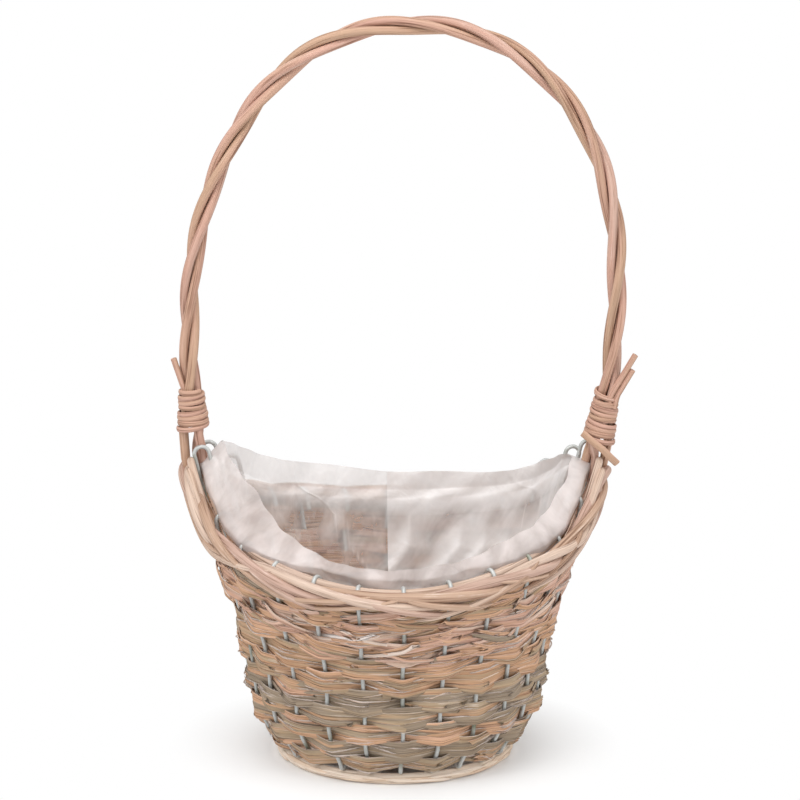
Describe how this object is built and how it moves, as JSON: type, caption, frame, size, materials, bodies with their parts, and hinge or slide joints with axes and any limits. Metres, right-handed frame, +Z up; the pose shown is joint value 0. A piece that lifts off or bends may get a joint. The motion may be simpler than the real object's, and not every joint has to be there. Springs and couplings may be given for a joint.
{
  "type": "planter basket",
  "caption": "Round wicker planter basket with a flared woven wall on wire stakes, a saddle-shaped rim, a tall twisted hoop handle and a clear film liner.",
  "frame": {"origin": "middle of the foot ring, on the surface that the basket stands on", "axes": "+Z up, -Y towards the front, +X to the right seen from the front; the handle spans X"},
  "size_m": [0.2429, 0.2022, 0.3948],
  "materials": {
    "peeled_willow": "peeled willow rod, matt, pinkish tan",
    "pale_willow": "peeled willow rod, matt, cream with a chalky wash",
    "split_willow": "split willow strips, matt and fibrous, tan to grey with a chalky wash",
    "galvanised_wire": "galvanised wire, dull grey",
    "clear_film": "thin translucent film, soft sheen"
  },
  "bodies": {
    "root": {"foot_ring": "pale_willow", "rim_inner_rod": "pale_willow", "rim_outer_rod_upper": "pale_willow", "rim_outer_rod_lower": "pale_willow", "handle_rod_1": "peeled_willow", "handle_rod_2": "peeled_willow", "handle_rod_3": "peeled_willow", "handle_binding_left": "peeled_willow", "handle_binding_right": "peeled_willow", "handle_tail_left": "peeled_willow", "handle_tail_right_long": "peeled_willow", "handle_tail_right_short": "peeled_willow", "plastic_liner": "clear_film", "base_slat_across_1": "split_willow", "base_slat_deep_1": "split_willow", "base_slat_across_2": "split_willow", "base_slat_deep_2": "split_willow", "base_slat_across_3": "split_willow", "base_slat_deep_3": "split_willow", "base_slat_across_4": "split_willow", "base_slat_deep_4": "split_willow", "base_slat_across_5": "split_willow", "base_slat_deep_5": "split_willow", "weave_row_01": "split_willow", "weave_row_02": "split_willow", "weave_row_03": "split_willow", "weave_row_04": "split_willow", "weave_row_05": "split_willow", "weave_row_06": "split_willow", "weave_row_07": "split_willow", "weave_row_08": "split_willow", "weave_row_09": "split_willow", "weave_row_10": "split_willow", "wire_stake_01": "galvanised_wire", "wire_stake_02": "galvanised_wire", "wire_stake_03": "galvanised_wire", "wire_stake_04": "galvanised_wire", "wire_stake_05": "galvanised_wire", "wire_stake_06": "galvanised_wire", "wire_stake_07": "galvanised_wire", "wire_stake_08": "galvanised_wire", "wire_stake_09": "galvanised_wire", "wire_stake_10": "galvanised_wire", "wire_stake_11": "galvanised_wire", "wire_stake_12": "galvanised_wire", "wire_stake_13": "galvanised_wire", "wire_stake_14": "galvanised_wire", "wire_stake_15": "galvanised_wire", "wire_stake_16": "galvanised_wire", "wire_stake_17": "galvanised_wire", "wire_stake_18": "galvanised_wire", "wire_stake_19": "galvanised_wire", "wire_stake_20": "galvanised_wire", "wire_stake_21": "galvanised_wire", "wire_stake_22": "galvanised_wire", "wire_stake_23": "galvanised_wire", "wire_stake_24": "galvanised_wire"}
  },
  "joints": []
}
